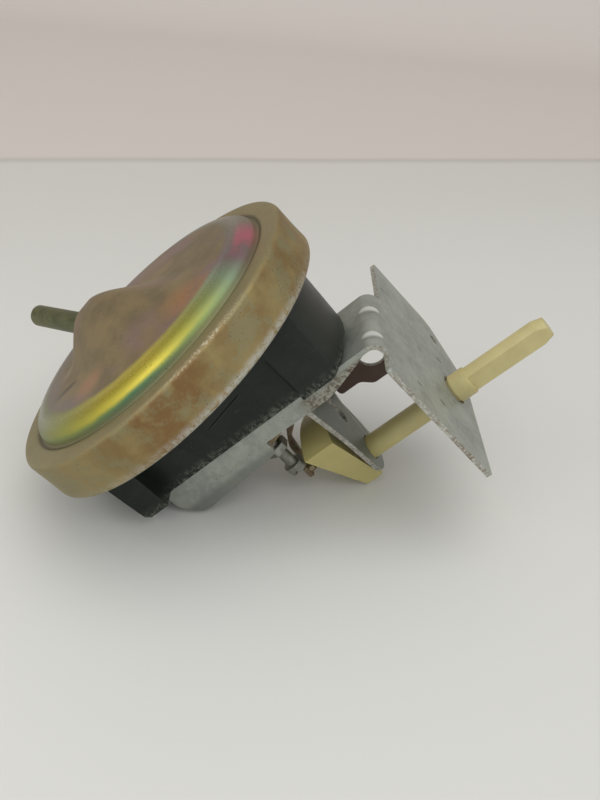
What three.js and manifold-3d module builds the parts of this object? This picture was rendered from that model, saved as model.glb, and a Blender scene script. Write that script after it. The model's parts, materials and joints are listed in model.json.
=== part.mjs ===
// Diaphragm pressure switch with a rotary range cam.
// Millimetres. The switch is drawn upright first: the disc axis is +Z, the shaft axis is parallel to +X and
// the crimped edge of the cap lies at z = 0. The last section lays it on its rim and cam hub, as it rests.
import * as THREE from 'three';
import { mergeVertices } from 'three/addons/utils/BufferGeometryUtils.js';
import Module from 'manifold-3d';

const wasm = await Module();
wasm.setup();

// ---- Driving dimensions -------------------------------------------------------------------------------
const GAP = 0.3;               // air left between pieces that touch
const SHEET = 1.2;             // bracket sheet
// Cap
const CAP_R = 39.3;            // outside of the band
const CAP_WALL = 0.8;
const BAND_H = 10.8;           // crimp plane to the flat ring
const BAND_ROUND = 1.4;        // radius between band and ring
const CRIMP_R = 36.9;          // inner edge of the crimped lip
const DOME_R = 33.2;           // foot of the dome
const DOME_RISE = 3.5;         // ring to shoulder
const SHOULDER_R = 29.3;       // where the shoulder meets the plateau
const CROWN = 1.4;             // rise of the plateau at its middle
const HUMP_H = 7.4;            // hump over the plateau
const HUMP_HALF = 15;          // half width of the hump
const HUMP_RUN = 10;           // the rise ends this far before the tube's mouth
const HUMP_FALL = [-6, 0.5];   // steep side, measured from the tube's mouth
// Inlet tube
const TUBE_R = 2.6;
const TUBE_BORE_R = 1.7;
const TUBE_OUT = 24.5;         // length outside the tube's mouth
const TUBE_IN = 7;             // length behind the mouth
const TUBE_TURN = 135.4;       // heading about the disc axis, degrees
const TUBE_LIFT = 15.8;        // rise above the plateau plane, degrees
const TUBE_MOUTH = [-11.97, 6.42, 17.04];
// Body
const BODY_R = 33.8;
const BODY_H = 20.1;           // depth under the crimp plane
const FLANGE_TOP = 8.2;        // top of the clamped flange
const BODY_DRAFT = 1.2;        // the body narrows this much towards its bottom
const PANEL_X = [-21.5, 19.6]; // flat panel on the near side, between a block and a proud end
const PANEL_Y = -11.4;
const BLOCK_Y = -16.4;
const END_Y = -13.9;
const WELL_R = 8.4;            // spring well
// Diaphragm and spring
const RUBBER = 1.2;
const PLATE_R = 19;
const SPRING_R = 6;
const WIRE = 1.1;
const SPRING_TURNS = 6;
const SEAT_Z = -16.6;          // underside of the spring seat
// Bracket
const ARM_NEAR = -10.2;
const ARM_FAR = 14;
const BASE_LEFT = -24.3;
const PLATE_X = 39.7;          // outside of the mounting plate
const PLATE_Y = [-17.5, 34.5];
const PLATE_DROP = 61.1;       // lower edge of the mounting plate, below the crimp plane
const PLATE_TOP = 24.2;
const BEND_R = 3.4;
const FLANGE_DROP = 30.4;      // lower edge of the flanges, below the crimp plane
const FLANGE_LOW_X = -20.5;    // the flanges' lower corner
const FLANGE_SIDE = 5;         // height of the flange's corner over its lower edge
const WINDOW_X = [-14.5, 15];
const WINDOW_Y = [-6.2, 8.6];
const TAB_TILT = 6.3;          // lean of the bearing tab, degrees
// Shaft and cam
const SHAFT_Y = 8.5;
const SHAFT_Z = -52.8;
const SHAFT_R = 3.0;
const COLLAR_R = 3.65;
const D_R = 3.2;
const SHAFT_TIP = 66.4;
const HUB_R = 7.4;
const HUB_X = [6.9, 11.7];
const LOBE_R = 16.5;
const LOBE_RISE = 3.9;         // rise of the face cam over its sweep
const LOBE_NEAR = 38;          // lobe edges measured from +Z towards the near side, degrees
const LOBE_FAR = -50;
const RAMP_R = 9.4;            // the ramp is full from here out
const HUB_FOOT = 160;          // foot of the cam's near face, measured as the lobe edges are
const SHAFT_CLEAR = 0.35;
// Lever
const PIN_X = 12.4;
const PIN_Z = -23.4;
const PIN_R = 1.0;
const KNUCKLE_R = 2.2;
const LEVER = 1.2;             // lever sheet
const SCREW_R = 1.5;
const SCREW_HEAD = [-41, -38.6];
const SCREW_HEAD_R = 2.6;
// Switch chamber on the far side
const CHAMBER_X = [-15, 15];
const CHAMBER_Y = [13, 25];
const BLADE_Y = 19;
const BLADE_Z = -5;
const CONTACT_X = 10;
const CONTACT_GAP = 2.6;       // travel of the moving contact, with clearance
const TERMINAL_W = 6.3;
const TERMINAL_OUT = 8;

const FINE = 48;
const rad = THREE.MathUtils.degToRad;

// ---- Solids -------------------------------------------------------------------------------------------
function solid(geometry) {
  const bare = geometry.index ? geometry.toNonIndexed() : geometry.clone();
  bare.deleteAttribute('normal');
  bare.deleteAttribute('uv');
  const merged = mergeVertices(bare, 1e-4);
  const p = merged.attributes.position;
  const kept = [];
  let volume = 0;
  const corner = [new THREE.Vector3(), new THREE.Vector3(), new THREE.Vector3()];
  for (let i = 0; i < merged.index.count; i += 3) {
    const tri = [0, 1, 2].map((k) => merged.index.getX(i + k));
    if (new Set(tri).size < 3) continue;
    kept.push(...tri);
    tri.forEach((v, k) => corner[k].fromBufferAttribute(p, v));
    volume += corner[0].dot(corner[1].clone().cross(corner[2]));
  }
  if (volume < 0) kept.reverse();
  const mesh = new wasm.Mesh({
    numProp: 3,
    vertProperties: Float32Array.from(p.array),
    triVerts: Uint32Array.from(kept),
  });
  return new wasm.Manifold(mesh);
}

function toGeometry(body) {
  const mesh = body.getMesh();
  const geometry = new THREE.BufferGeometry();
  geometry.setAttribute('position', new THREE.BufferAttribute(Float32Array.from(mesh.vertProperties), 3));
  geometry.setIndex(new THREE.BufferAttribute(Uint32Array.from(mesh.triVerts), 1));
  const flat = geometry.toNonIndexed();
  flat.computeVertexNormals();
  return flat;
}

const join = (...bodies) => bodies.reduce((whole, next) => whole.add(next));
const cut = (body, ...tools) => tools.reduce((whole, next) => whole.subtract(next), body);

// A closed outline from corners [u, v, round]; a corner with a round gets a curve of that reach.
function outline(corners) {
  const shape = new THREE.Shape();
  const points = corners.map(([u, v]) => new THREE.Vector2(u, v));
  corners.forEach(([, , round = 0], i) => {
    const here = points[i];
    const before = points[(i + points.length - 1) % points.length];
    const after = points[(i + 1) % points.length];
    const start = here.clone().add(before.clone().sub(here).setLength(round));
    const end = here.clone().add(after.clone().sub(here).setLength(round));
    if (i === 0) shape.moveTo(start.x, start.y);
    else shape.lineTo(start.x, start.y);
    if (round > 0) shape.quadraticCurveTo(here.x, here.y, end.x, end.y);
  });
  shape.closePath();
  return shape;
}

const AXES = {
  x: [[0, 1, 0], [0, 0, 1], [1, 0, 0]],
  y: [[0, 0, 1], [1, 0, 0], [0, 1, 0]],
  z: [[1, 0, 0], [0, 1, 0], [0, 0, 1]],
};

// A prism along an axis from a to b. Outline corners are [y, z] along x, [z, x] along y and [x, y] along z.
function prism(axis, corners, a, b, curveSegments = 6) {
  const shape = corners instanceof THREE.Shape ? corners : outline(corners);
  const options = { depth: b - a, bevelEnabled: false, curveSegments };
  const geometry = new THREE.ExtrudeGeometry(shape, options);
  const basis = AXES[axis].map((v) => new THREE.Vector3(...v));
  geometry.translate(0, 0, a);
  geometry.applyMatrix4(new THREE.Matrix4().makeBasis(...basis));
  return solid(geometry);
}

function box(x, y, z) {
  const geometry = new THREE.BoxGeometry(x[1] - x[0], y[1] - y[0], z[1] - z[0]);
  geometry.translate((x[0] + x[1]) / 2, (y[0] + y[1]) / 2, (z[0] + z[1]) / 2);
  return solid(geometry);
}

// A round bar between two points.
function bar(from, to, radius, segments = 24, endRadius = radius) {
  const start = new THREE.Vector3(...from);
  const run = new THREE.Vector3(...to).sub(start);
  const geometry = new THREE.CylinderGeometry(endRadius, radius, run.length(), segments);
  geometry.translate(0, run.length() / 2, 0);
  const turn = new THREE.Quaternion().setFromUnitVectors(new THREE.Vector3(0, 1, 0), run.normalize());
  geometry.applyQuaternion(turn);
  geometry.translate(start.x, start.y, start.z);
  return solid(geometry);
}

// A turned piece about the disc axis from a closed profile of [radius, z].
function turned(profile, segments = FINE) {
  const points = profile.map(([r, z]) => new THREE.Vector2(r, z));
  if (profile[0][0] > 0) points.push(points[0].clone());
  return new THREE.LatheGeometry(points, segments).rotateX(Math.PI / 2);
}

const arc = (r, z, radius, from, to, steps) => Array.from({ length: steps + 1 }, (_, i) => {
  const angle = rad(from + ((to - from) * i) / steps);
  return [r + radius * Math.cos(angle), z + radius * Math.sin(angle)];
});

// ---- Assembly -----------------------------------------------------------------------------------------
const upright = new THREE.Group();

function add(name, body, color, roughness, metalness) {
  const material = new THREE.MeshStandardMaterial({ color, roughness, metalness });
  const mesh = new THREE.Mesh(toGeometry(body), material);
  mesh.name = name;
  upright.add(mesh);
  return mesh;
}

const ZINC = [0x9a9f98, 0.45, 0.9];
const GOLD = [0xa8935a, 0.4, 0.9];
const BLACK = [0x1c1d1c, 0.4, 0];
const NYLON = [0xcfc486, 0.5, 0];
const STEEL = [0x8d8d88, 0.4, 1];
const COPPER = [0xb07a4e, 0.35, 1];
const RUBBER_LOOK = [0x262624, 0.8, 0];

// ---- Cap: pressed shell with an off-centre hump ---------------------------------------------------------
const tubeHeading = new THREE.Vector2(Math.cos(rad(TUBE_TURN)), Math.sin(rad(TUBE_TURN)));
const tubeAxis = new THREE.Vector3(
  tubeHeading.x * Math.cos(rad(TUBE_LIFT)),
  tubeHeading.y * Math.cos(rad(TUBE_LIFT)),
  Math.sin(rad(TUBE_LIFT)),
);
const tubeMouth = new THREE.Vector3(...TUBE_MOUTH);
const mouthAlong = tubeMouth.x * tubeHeading.x + tubeMouth.y * tubeHeading.y;
const mouthAcross = tubeMouth.y * tubeHeading.x - tubeMouth.x * tubeHeading.y;
const smooth = THREE.MathUtils.smoothstep;

function humpHeight(x, y) {
  const along = x * tubeHeading.x + y * tubeHeading.y;
  const across = y * tubeHeading.x - x * tubeHeading.y - mouthAcross;
  const rise = smooth(along, -SHOULDER_R, mouthAlong - HUMP_RUN);
  const fall = 1 - smooth(along, mouthAlong + HUMP_FALL[0], mouthAlong + HUMP_FALL[1]);
  const side = 1 - smooth(Math.abs(across), 1.5, HUMP_HALF);
  return HUMP_H * rise * fall * side;
}

function makeCap() {
  const shoulderZ = BAND_H + DOME_RISE;
  const crown = (r) => shoulderZ + CROWN * (1 - (r / SHOULDER_R) ** 2);
  const rings = 9;
  const plateau = Array.from({ length: rings }, (_, i) => (SHOULDER_R * i) / rings);
  const width = DOME_R - SHOULDER_R;
  const shoulder = (drop, reach, steps) => Array.from({ length: steps + 1 }, (_, i) => {
    const angle = (Math.PI / 2) * (i / steps);
    const wide = width + reach;
    return [SHOULDER_R + wide * Math.sin(angle), BAND_H + DOME_RISE * Math.cos(angle) - drop];
  });
  const inside = CAP_R - CAP_WALL;
  const outer = [
    ...plateau.map((r) => [r, crown(r)]),
    ...shoulder(0, 0, 4),
    [DOME_R + 0.5, BAND_H - 0.5],
    [DOME_R + 1.1, BAND_H],
    ...arc(CAP_R - BAND_ROUND, BAND_H - BAND_ROUND, BAND_ROUND, 90, 0, 3),
    ...arc(CAP_R - 0.9, 0.9, 0.9, 0, -90, 3),
    [CRIMP_R, 0],
    [CRIMP_R, CAP_WALL],
    [inside - 0.3, CAP_WALL],
    [inside, CAP_WALL + 0.3],
    [inside, BAND_H - CAP_WALL - 0.6],
    [inside - 0.6, BAND_H - CAP_WALL],
    [DOME_R + 0.5, BAND_H - CAP_WALL - 0.3],
    ...shoulder(CAP_WALL, -CAP_WALL, 4).reverse(),
    ...plateau.map((r) => [r, crown(r) - CAP_WALL]).reverse(),
  ];
  const geometry = turned(outer);
  const p = geometry.attributes.position;
  for (let i = 0; i < p.count; i += 1) {
    const reach = Math.hypot(p.getX(i), p.getY(i));
    const keep = 1 - smooth(reach, SHOULDER_R - 5, SHOULDER_R + 1);
    if (keep > 0) p.setZ(i, p.getZ(i) + keep * humpHeight(p.getX(i), p.getY(i)));
  }
  return solid(geometry);
}

const alongTube = (distance) => tubeMouth.clone().addScaledVector(tubeAxis, distance).toArray();
const tubeHole = bar(alongTube(-TUBE_IN), alongTube(TUBE_OUT), TUBE_R + GAP, 24);
const COLLAR_AT = HUMP_FALL[1] + 0.3;  // staked collar, clear of the hump's steep side
const COLLAR_L = 1.4;
const COLLAR_OUT = TUBE_R + 0.7;
const collarSeat = bar(alongTube(COLLAR_AT - GAP), alongTube(COLLAR_AT + COLLAR_L + GAP), COLLAR_OUT + GAP, 28);
add('diaphragm_cap', cut(makeCap(), tubeHole, collarSeat), ...GOLD);

const tubeShell = bar(alongTube(-TUBE_IN), alongTube(TUBE_OUT), TUBE_R, 32);
const tubeBore = bar(alongTube(-TUBE_IN - 1), alongTube(TUBE_OUT + 1), TUBE_BORE_R, 20);
add('inlet_tube', cut(tubeShell, tubeBore), 0x5d5c3c, 0.45, 0.8);

const collarRing = bar(alongTube(COLLAR_AT), alongTube(COLLAR_AT + COLLAR_L), COLLAR_OUT, 28, COLLAR_OUT - 0.2);
const collarHole = bar(alongTube(COLLAR_AT - 1), alongTube(COLLAR_AT + COLLAR_L + 1), TUBE_R + GAP * 0.5, 28);
add('tube_collar', cut(collarRing, collarHole), 0x6a6848, 0.45, 0.8);

// ---- Diaphragm and its plate ----------------------------------------------------------------------------
const rubberZ = FLANGE_TOP + GAP;
const foldR = (PLATE_R + 31) / 2;
const foldHalf = 3.4;
const FOLD_DEPTH = 3;
const foldTop = [0, 1, 2, 3, 4].map((i) => {
  const turn = Math.PI * (1 - i / 4);
  return [foldR + foldHalf * Math.cos(turn), rubberZ - FOLD_DEPTH * Math.sin(turn)];
});
const rubberProfile = [
  [0, rubberZ],
  ...foldTop,
  [CAP_R - CAP_WALL - GAP * 2, rubberZ],
  [CAP_R - CAP_WALL - GAP * 2, rubberZ + RUBBER],
  ...foldTop.map(([r, z]) => [r, z + RUBBER]).reverse(),
  [0, rubberZ + RUBBER],
];
add('diaphragm', solid(turned(rubberProfile, 36)), ...RUBBER_LOOK);

const plateZ = rubberZ - GAP;
const PLATE_T = 1.0;
const BOSS_R = SPRING_R - WIRE / 2 - GAP;
const BOSS_H = 2.5;
const plateProfile = [
  [0, plateZ], [PLATE_R, plateZ], [PLATE_R, plateZ - PLATE_T], [BOSS_R, plateZ - PLATE_T],
  [BOSS_R - 0.4, plateZ - PLATE_T - BOSS_H], [0, plateZ - PLATE_T - BOSS_H],
];
const PIN_HOLE_R = 1.2;
const ACTUATOR_Y = BLADE_Y - 3;
const plateBody = solid(turned(plateProfile, 40));
add('diaphragm_plate', plateBody, ...STEEL);

const bladeTop = BLADE_Z + 0.3;
add('actuator_pin', join(
  bar([0, ACTUATOR_Y, bladeTop + GAP], [0, ACTUATOR_Y, plateZ - PLATE_T - GAP], PIN_HOLE_R, 20),
  bar([0, ACTUATOR_Y, plateZ - PLATE_T - GAP - 1.2], [0, ACTUATOR_Y, plateZ - PLATE_T - GAP], PIN_HOLE_R + 0.9, 20),
), 0xd8d2bf, 0.5, 0);

const springTop = plateZ - PLATE_T - GAP - WIRE / 2;
const SEAT_T = 1.2;
const springFoot = SEAT_Z + SEAT_T + GAP + WIRE / 2;
class Helix extends THREE.Curve {
  getPoint(t, target = new THREE.Vector3()) {
    const angle = 2 * Math.PI * SPRING_TURNS * t;
    const z = springFoot + (springTop - springFoot) * t;
    return target.set(SPRING_R * Math.cos(angle), SPRING_R * Math.sin(angle), z);
  }
}
const wireShape = new THREE.Shape().absarc(0, 0, WIRE / 2, 0, 2 * Math.PI);
const springOptions = { steps: SPRING_TURNS * 11, curveSegments: 3, extrudePath: new Helix(), bevelEnabled: false };
add('range_spring', solid(new THREE.ExtrudeGeometry(wireShape, springOptions)), ...STEEL);

const seatProfile = [
  [0, SEAT_Z], [SPRING_R + 1.2, SEAT_Z], [SPRING_R + 1.2, SEAT_Z + SEAT_T],
  [BOSS_R, SEAT_Z + SEAT_T], [BOSS_R - 0.5, SEAT_Z + SEAT_T + 1.5], [0, SEAT_Z + SEAT_T + 1.5],
];
add('spring_seat', solid(turned(seatProfile, 32)), ...STEEL);

// ---- Switch body ----------------------------------------------------------------------------------------
const bodyBottom = -BODY_H;
const bodyFoot = CAP_WALL + GAP;
const bodyRim = CAP_R - CAP_WALL - GAP * 2;
const FLOOR = 2;               // plastic left under the upper cavity
const RECESS_R = 30;
const RECESS_Z = 2.6;
const bodyProfile = [
  [0, RECESS_Z], [RECESS_R, RECESS_Z], [RECESS_R, FLANGE_TOP], [bodyRim, FLANGE_TOP], [bodyRim, bodyFoot],
  [BODY_R, bodyFoot], [BODY_R - BODY_DRAFT, bodyBottom + 1], [BODY_R - BODY_DRAFT - 1, bodyBottom],
  [0, bodyBottom],
];
const chamber = box(CHAMBER_X, CHAMBER_Y, [bodyBottom + FLOOR + 2, RECESS_Z + 1]);
const well = bar([0, 0, bodyBottom - 1], [0, 0, RECESS_Z + 1], WELL_R, 36);
const cutZ = [bodyBottom - 1, bodyFoot - 0.8];
const nearCuts = [
  box([-CAP_R, CAP_R], [-CAP_R, BLOCK_Y], cutZ),
  box([PANEL_X[0], CAP_R], [-CAP_R, END_Y], cutZ),
  box(PANEL_X, [-CAP_R, PANEL_Y], cutZ),
];
const innerPocket = box([-22, -10.5], [-8, 11], [bodyBottom + FLOOR + 2, RECESS_Z + 1]);
const innerPocketFar = box([10.5, 22], [-8, 11], [bodyBottom + FLOOR + 2, RECESS_Z + 1]);

const TERMINALS = [
  { name: 'common', x: -11.2, z: BLADE_Z - 0.9 },
  { name: 'nc', x: 0, z: BLADE_Z + 3.2 },
  { name: 'no', x: 10.8, z: BLADE_Z - CONTACT_GAP - 1.9 },
];
const TERMINAL_T = 0.8;
const terminalIn = CHAMBER_Y[1] - 2.5;
const terminalOut = BODY_R + TERMINAL_OUT;
const slots = TERMINALS.map(({ x, z }) => box(
  [x - TERMINAL_W / 2 - GAP, x + TERMINAL_W / 2 + GAP],
  [CHAMBER_Y[1] - 1, terminalOut],
  [z - TERMINAL_T / 2 - GAP, z + TERMINAL_T / 2 + GAP],
));

// ---- Bracket --------------------------------------------------------------------------------------------
const baseTop = -BODY_H - GAP;
const baseUnder = baseTop - SHEET;
const flangeLow = -FLANGE_DROP;
const nearInner = ARM_NEAR + SHEET;
const farInner = ARM_FAR - SHEET;
const STEP_X = 4;              // where the flange steps up beside the screw
const LIP_Z = -25;             // lower edge of the lip along the arm
const LIP_BULGE = [LIP_Z - 0.3, 23, 2];
const LIP_END = 35;

// Flange outlines as [z, x] corners, read from the base down; both start with the same foot.
const flangeRoot = baseTop - 0.2;
const flangeFoot = [
  [flangeRoot, BASE_LEFT], [flangeLow + FLANGE_SIDE, BASE_LEFT, 1.6], [flangeLow, FLANGE_LOW_X, 2.4],
  [flangeLow + 1.9, STEP_X, 0.8],
];
const flangeShape = [
  ...flangeFoot,
  [LIP_Z, STEP_X, 0.6], LIP_BULGE, [baseUnder - 0.9, LIP_END - 2.4], [baseUnder, LIP_END], [flangeRoot, LIP_END],
];
const nearFlange = prism('y', flangeShape, ARM_NEAR, nearInner);
const webShape = [
  ...flangeFoot,
  [LIP_Z, STEP_X, 0.6], [LIP_Z, 15.2], [-38.2, 16.6, 1], [-38.2, 22.4, 1], [-40.8, 25, 1], [-40.8, 31.5, 1.5],
  [-34, 34.4, 2], [-26, 35.6, 2], [baseTop - 0.2, 35.8],
];
const farFlange = prism('y', webShape, farInner, ARM_FAR);
const WEB_HOLE = [29.6, -33.6];
const WEB_HOLE_R = 3.6;
const webHole = bar(
  [WEB_HOLE[0], farInner - 1, WEB_HOLE[1]], [WEB_HOLE[0], ARM_FAR + 1, WEB_HOLE[1]], WEB_HOLE_R, 28,
);
const base = box([BASE_LEFT, PLATE_X - BEND_R - 0.01], [ARM_NEAR, ARM_FAR], [baseUnder, baseTop]);
const windowCut = box(WINDOW_X, WINDOW_Y, [baseUnder - 1, baseTop + 1]);

function makeBend() {
  const shape = new THREE.Shape();
  const cx = PLATE_X - BEND_R;
  const cz = baseTop - BEND_R;
  shape.absarc(cz, cx, BEND_R, 0, Math.PI / 2, false);
  shape.absarc(cz, cx, BEND_R - SHEET, Math.PI / 2, 0, true);
  return prism('y', shape, ARM_NEAR, ARM_FAR, 8);
}

const plateInner = PLATE_X - SHEET;
const mountPlate = prism('x', [
  [PLATE_Y[0], -PLATE_TOP, 1], [PLATE_Y[0], -PLATE_DROP, 1], [PLATE_Y[1] - 13, -PLATE_DROP, 2],
  [PLATE_Y[1], -PLATE_DROP + 14, 3], [PLATE_Y[1], -PLATE_TOP, 1],
], plateInner, PLATE_X);
const plateNeck = box([plateInner, PLATE_X], [ARM_NEAR, ARM_FAR], [-PLATE_TOP - 1, baseTop - BEND_R + 0.01]);
const shaftHole = bar(
  [plateInner - 1, SHAFT_Y, SHAFT_Z], [PLATE_X + 1, SHAFT_Y, SHAFT_Z], COLLAR_R + SHAFT_CLEAR, 32,
);
const SMALL_HOLE = [27.5, -48.5];
const SMALL_HOLE_R = 1.7;
const smallHole = bar([plateInner - 1, ...SMALL_HOLE], [PLATE_X + 1, ...SMALL_HOLE], SMALL_HOLE_R, 20);

const tabHingeX = 17.5;
const tabRun = -SHAFT_Z + baseTop;
const tabEnd = 6.4;
const tabShape = [
  [ARM_NEAR, baseTop - 0.4], [ARM_NEAR, -24], [-2.4, -41], [SHAFT_Y - tabEnd + 0.3, SHAFT_Z - 1.5],
  [SHAFT_Y + tabEnd - 0.3, SHAFT_Z - 1.5], [SHAFT_Y + tabEnd - 0.3, SHAFT_Z + 4], [farInner - 0.5, -40],
  [ARM_FAR, -30], [ARM_FAR, baseTop - 0.4],
];
const tabSlot = [
  [3.4, -30.5, 1], [6.4, -29.5, 1], [8.2, -41, 1], [5.6, -42, 1],
];
const lean = new THREE.Matrix4()
  .makeTranslation(tabHingeX, 0, baseTop)
  .multiply(new THREE.Matrix4().makeRotationY(rad(TAB_TILT)))
  .multiply(new THREE.Matrix4().makeTranslation(-tabHingeX, 0, -baseTop));
const leaned = (body) => body.transform(lean.elements);
const tab = leaned(cut(
  join(
    prism('x', tabShape, tabHingeX - SHEET, tabHingeX),
    bar([tabHingeX - SHEET, SHAFT_Y, SHAFT_Z], [tabHingeX, SHAFT_Y, SHAFT_Z], tabEnd, 32),
  ),
  prism('x', tabSlot, tabHingeX - SHEET - 1, tabHingeX + 1),
));
const tabAtShaft = tabHingeX - Math.tan(rad(TAB_TILT)) * tabRun;
const tabHole = bar(
  [tabAtShaft - 4, SHAFT_Y, SHAFT_Z], [tabAtShaft + 3, SHAFT_Y, SHAFT_Z], SHAFT_R + SHAFT_CLEAR, 28,
);
const tabRoom = box([tabHingeX - SHEET - 0.2, tabHingeX], [ARM_NEAR, ARM_FAR], [baseUnder, baseTop]);

const EAR_Y = [-8, 9.8];       // inner ears that carry the lever pin
const ears = EAR_Y.map((y) => prism('y', [
  [baseUnder + 0.2, PIN_X - 2.2], [PIN_Z - PIN_R - 1, PIN_X - 2.2, 1], [PIN_Z - PIN_R - 1, PIN_X + 2.2, 1],
  [baseUnder + 0.2, PIN_X + 2.2],
], y - SHEET / 2, y + SHEET / 2));
const pinHole = bar([PIN_X, EAR_Y[0] - 1, PIN_Z], [PIN_X, EAR_Y[1] + 1, PIN_Z], PIN_R + 0.08, 20);

const RIVETS = [[-19.6, -5], [-19.6, 9.4], [21.5, -5], [21.5, 9.4]];
const RIVET_R = 1.5;
const rivetHoles = RIVETS.map(([x, y]) => bar([x, y, baseUnder - 1], [x, y, bodyBottom + 6], RIVET_R + GAP, 20));

const gussets = [-4.5, 7].map((y) => {
  const start = [PLATE_X - BEND_R * 1.9, y, baseTop - 0.8];
  const end = [PLATE_X - 0.9, y, baseTop - BEND_R * 1.1];
  return bar(start, end, 1.1, 14, 1.3);
});

const bracket = cut(
  join(cut(base, windowCut), nearFlange, cut(farFlange, webHole), makeBend(), mountPlate, plateNeck, tab, tabRoom,
    ...ears, ...gussets),
  shaftHole, smallHole, tabHole, pinHole, ...rivetHoles,
);
add('mounting_bracket', bracket, ...ZINC);

const bodySolid = cut(
  solid(turned(bodyProfile)), chamber, well, ...nearCuts, innerPocket, innerPocketFar, ...slots,
  ...rivetHoles,
);
add('switch_body', bodySolid, ...BLACK);

RIVETS.forEach(([x, y], i) => {
  const shank = bar([x, y, baseUnder - 0.1], [x, y, bodyBottom + 5.5], RIVET_R, 18);
  const head = bar([x, y, baseUnder - GAP - 1.1], [x, y, baseUnder - GAP], RIVET_R + 0.7, 20, RIVET_R + 1.4);
  const neck = bar([x, y, baseUnder - GAP - 0.1], [x, y, baseUnder], RIVET_R, 18);
  add(`bracket_rivet_${i + 1}`, join(shank, head, neck), ...STEEL);
});

// ---- Lever, pin and adjusting screw -----------------------------------------------------------------------
const PIN_OUT = SHEET / 2 + 0.1;
const pinBody = bar([PIN_X, EAR_Y[0] - PIN_OUT, PIN_Z], [PIN_X, EAR_Y[1] + PIN_OUT, PIN_Z], PIN_R, 18);
add('lever_pin', pinBody, ...STEEL);

const SIDE_Y = [4.2, 5.4];      // side plate, beyond the adjusting screw
const ARM_Y = [-4.6, SIDE_Y[1]];
const armTip = [-5, -31.6];
const armRoot = [PIN_X - 1.2, PIN_Z - 2.9];
const armRun = new THREE.Vector2(armRoot[0] - armTip[0], armRoot[1] - armTip[1]).normalize();
const armUp = [-armRun.y * LEVER, armRun.x * LEVER];
const armPlate = prism('y', [
  [armTip[1], armTip[0]], [armRoot[1], armRoot[0]],
  [armRoot[1] + armUp[1], armRoot[0] + armUp[0]], [armTip[1] + armUp[1], armTip[0] + armUp[0]],
], ...ARM_Y);
const knuckle = bar([PIN_X, ARM_Y[0], PIN_Z], [PIN_X, ARM_Y[1], PIN_Z], KNUCKLE_R, 24);
const toeTip = HUB_X[0] - LOBE_RISE - GAP;
const BUMP_H = 1.3;
const toeFace = toeTip - BUMP_H;
const TOE_Z = [-45.2, -42.2];
const BUMP_AT = [1.6, -43.8];
const SIDE_LOW = SHAFT_Z + LOBE_R + 1.2;  // the side plate narrows above the lobe
const sidePlate = prism('y', [
  [PIN_Z - 1, PIN_X + 1.6], [PIN_Z - 3.2, PIN_X + 1, 1], [SIDE_LOW, toeTip, 1],
  [TOE_Z[1] + 0.7, toeFace], [TOE_Z[0], toeFace], [TOE_Z[0], toeFace - LEVER], [-37, toeFace - LEVER, 2],
  [PIN_Z - 4, PIN_X - 5.5, 1], [PIN_Z - 0.6, PIN_X - 1.6],
], ...SIDE_Y);
const toe = join(
  box([toeFace - LEVER, toeFace], [BUMP_AT[0] - 1.6, SIDE_Y[1]], TOE_Z),
  bar([toeFace - 0.2, ...BUMP_AT], [toeTip, ...BUMP_AT], 1.3, 16, 0.9),
);
const screwHole = bar([0, 0, -36], [0, 0, -24], SCREW_R + GAP, 20);
const leverPinHole = bar([PIN_X, ARM_Y[0] - 1, PIN_Z], [PIN_X, ARM_Y[1] + 1, PIN_Z], PIN_R + GAP, 20);
add('range_lever', cut(join(armPlate, knuckle, sidePlate, toe), screwHole, leverPinHole), 0xa58f5c, 0.4, 0.8);

const screwTip = SEAT_Z - GAP;
const slotCut = box([-0.4, 0.4], [-SCREW_HEAD_R - 1, SCREW_HEAD_R + 1], [SCREW_HEAD[0] - 1, SCREW_HEAD[0] + 0.9]);
add('adjusting_screw', cut(join(
  bar([0, 0, SCREW_HEAD[1] - 0.1], [0, 0, screwTip - 0.8], SCREW_R, 20),
  bar([0, 0, screwTip - 0.9], [0, 0, screwTip], SCREW_R, 20, SCREW_R * 0.5),
  bar([0, 0, SCREW_HEAD[0]], [0, 0, SCREW_HEAD[1]], SCREW_HEAD_R - 0.3, 24, SCREW_HEAD_R),
), slotCut), ...STEEL);

const NUT_AF = 5.5;
const nutTop = -31.6;
const nut = bar([0, 0, nutTop - 2.2], [0, 0, nutTop], NUT_AF / Math.sqrt(3), 6);
add('screw_lock_nut', cut(nut, bar([0, 0, nutTop - 4], [0, 0, nutTop + 1], SCREW_R + GAP * 0.5, 20)), ...STEEL);

// ---- Shaft with its face cam --------------------------------------------------------------------------------
const onShaft = (x) => [x, SHAFT_Y, SHAFT_Z];
// Part of the lobe between two radii; its ramp rises by inRise at the inner one and outRise at the outer one.
function lobeRing(inR, outR, inRise, outRise) {
  const shape = new THREE.Shape();
  const start = rad(90 + LOBE_FAR);
  const end = rad(90 + LOBE_NEAR);
  shape.absarc(0, 0, outR, start, end, false);
  shape.absarc(0, 0, inR, end, start, true);
  const options = { depth: HUB_X[1] - HUB_X[0], bevelEnabled: false, curveSegments: 20 };
  const geometry = new THREE.ExtrudeGeometry(shape, options);
  const p = geometry.attributes.position;
  for (let i = 0; i < p.count; i += 1) {
    if (p.getZ(i) > 0.01) continue;
    const angle = Math.atan2(p.getY(i), p.getX(i));
    const share = THREE.MathUtils.clamp((angle - start) / (end - start), 0, 1);
    const outer = Math.hypot(p.getX(i), p.getY(i)) > (inR + outR) / 2;
    p.setZ(i, -(outer ? outRise : inRise) * share);
  }
  const basis = AXES.x.map((v) => new THREE.Vector3(...v));
  geometry.applyMatrix4(new THREE.Matrix4().makeBasis(...basis));
  geometry.translate(...onShaft(HUB_X[0]));
  return solid(geometry);
}

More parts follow.
